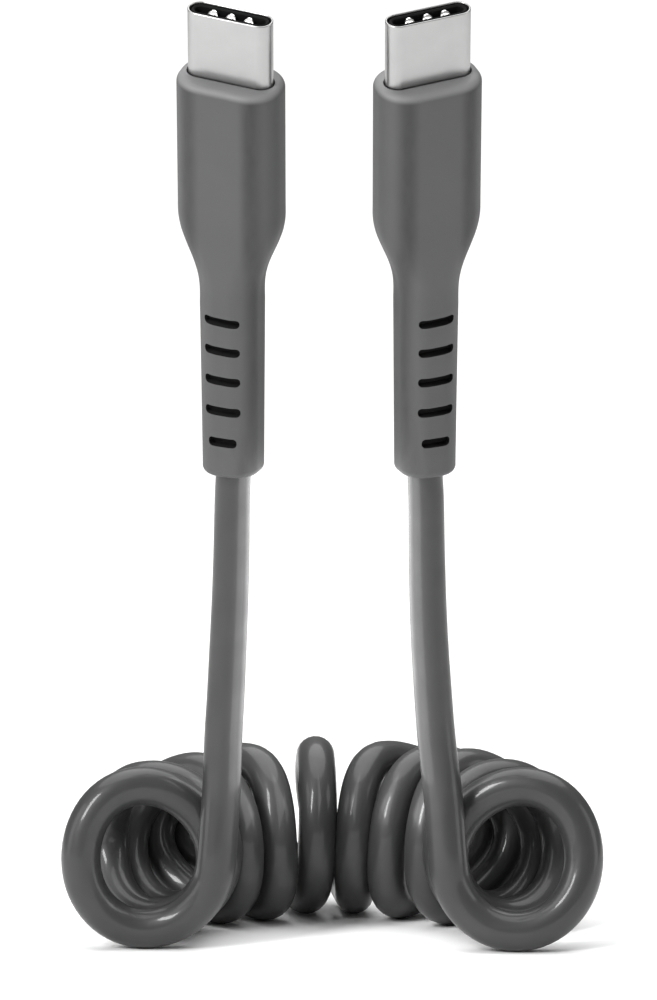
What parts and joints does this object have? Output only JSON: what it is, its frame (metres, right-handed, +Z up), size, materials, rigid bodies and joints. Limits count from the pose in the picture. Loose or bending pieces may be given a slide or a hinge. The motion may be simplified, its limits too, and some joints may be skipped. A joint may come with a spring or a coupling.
{
  "type": "coiled charging cable",
  "caption": "Short curly charging cable with a flat oval-shell plug on each end, standing on its own bent coil.",
  "frame": {"origin": "On the floor, below the middle of the part's box.", "axes": "+Z up; the coil's half ring opens towards -Y and the plugs lean that way; +X to the right."},
  "size_m": [0.0514, 0.0546, 0.0913],
  "materials": {
    "cord_jacket": "dark grey thermoplastic jacket, soft gloss",
    "grip_rubber": "dark grey moulded grip, fine matte grain",
    "bright_nickel": "bright nickel-plated steel",
    "carrier_black": "black moulded contact carrier",
    "blade_steel": "bright spring steel",
    "contact_gold": "gold-plated contacts"
  },
  "bodies": {
    "root": {"coil": "cord_jacket", "left_tail": "cord_jacket", "left_grip": "grip_rubber", "left_shell": "bright_nickel", "left_contact_carrier": "carrier_black", "left_front_ground_blades": "blade_steel", "left_back_ground_blades": "blade_steel", "left_front_contacts": "contact_gold", "left_back_contacts": "contact_gold", "right_tail": "cord_jacket", "right_grip": "grip_rubber", "right_shell": "bright_nickel", "right_contact_carrier": "carrier_black", "right_front_ground_blades": "blade_steel", "right_back_ground_blades": "blade_steel", "right_front_contacts": "contact_gold", "right_back_contacts": "contact_gold"}
  },
  "joints": []
}
